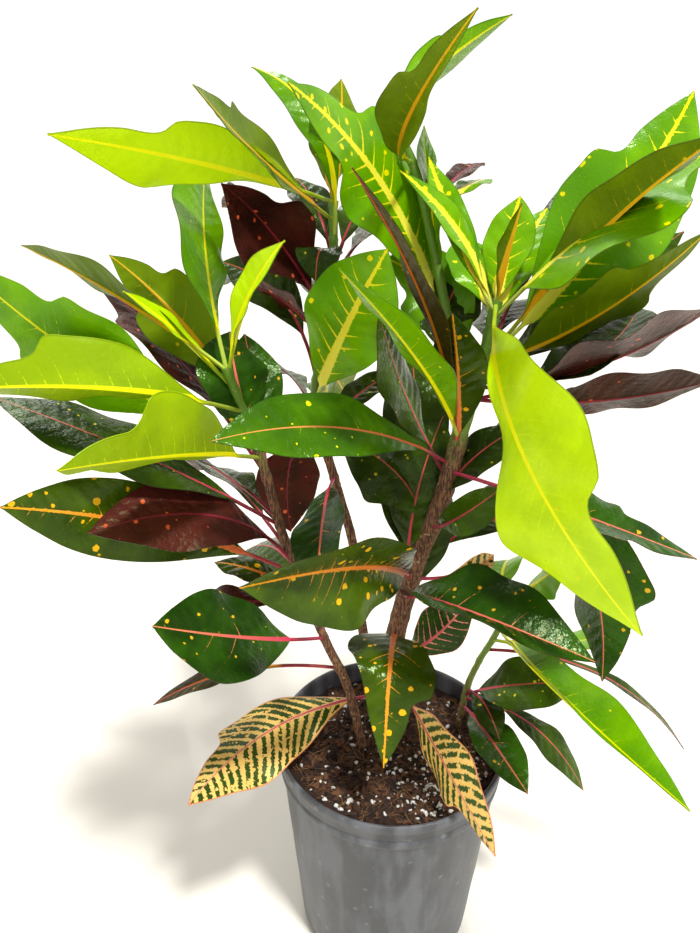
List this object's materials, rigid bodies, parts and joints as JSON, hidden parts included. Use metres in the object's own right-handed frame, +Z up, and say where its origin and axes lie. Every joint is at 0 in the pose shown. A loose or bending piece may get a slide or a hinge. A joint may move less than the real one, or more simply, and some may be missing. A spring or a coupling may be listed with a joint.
{
  "type": "potted croton",
  "caption": "Bushy potted croton with lobed green, lime, dark and striped leaves on woody stems, growing in soil in a round black nursery pot.",
  "frame": {"origin": "middle of the pot's flat underside", "axes": "+Z up along the pot's axis, -Y towards the front, +X to the right seen from the front"},
  "size_m": [0.4236, 0.3497, 0.6316],
  "materials": {
    "pot_plastic": "satin",
    "potting_soil": "matte",
    "bark": "matte",
    "old_leaf": "satin",
    "green_leaf": "satin",
    "lime_leaf": "satin",
    "striped_leaf": "satin"
  },
  "bodies": {
    "root": {"pot": "pot_plastic", "soil": "potting_soil", "left_stem": "bark", "trunk_stem": "bark", "cane_dark": "old_leaf", "trunk_dark": "old_leaf", "left_dark": "old_leaf", "right_dark": "old_leaf", "sapling_dark": "old_leaf", "cane_lime": "lime_leaf", "left_green": "green_leaf", "left_top": "green_leaf", "mid_green": "green_leaf", "right_green": "green_leaf", "sapling_green": "green_leaf", "striped_leaves": "striped_leaf"}
  },
  "joints": []
}
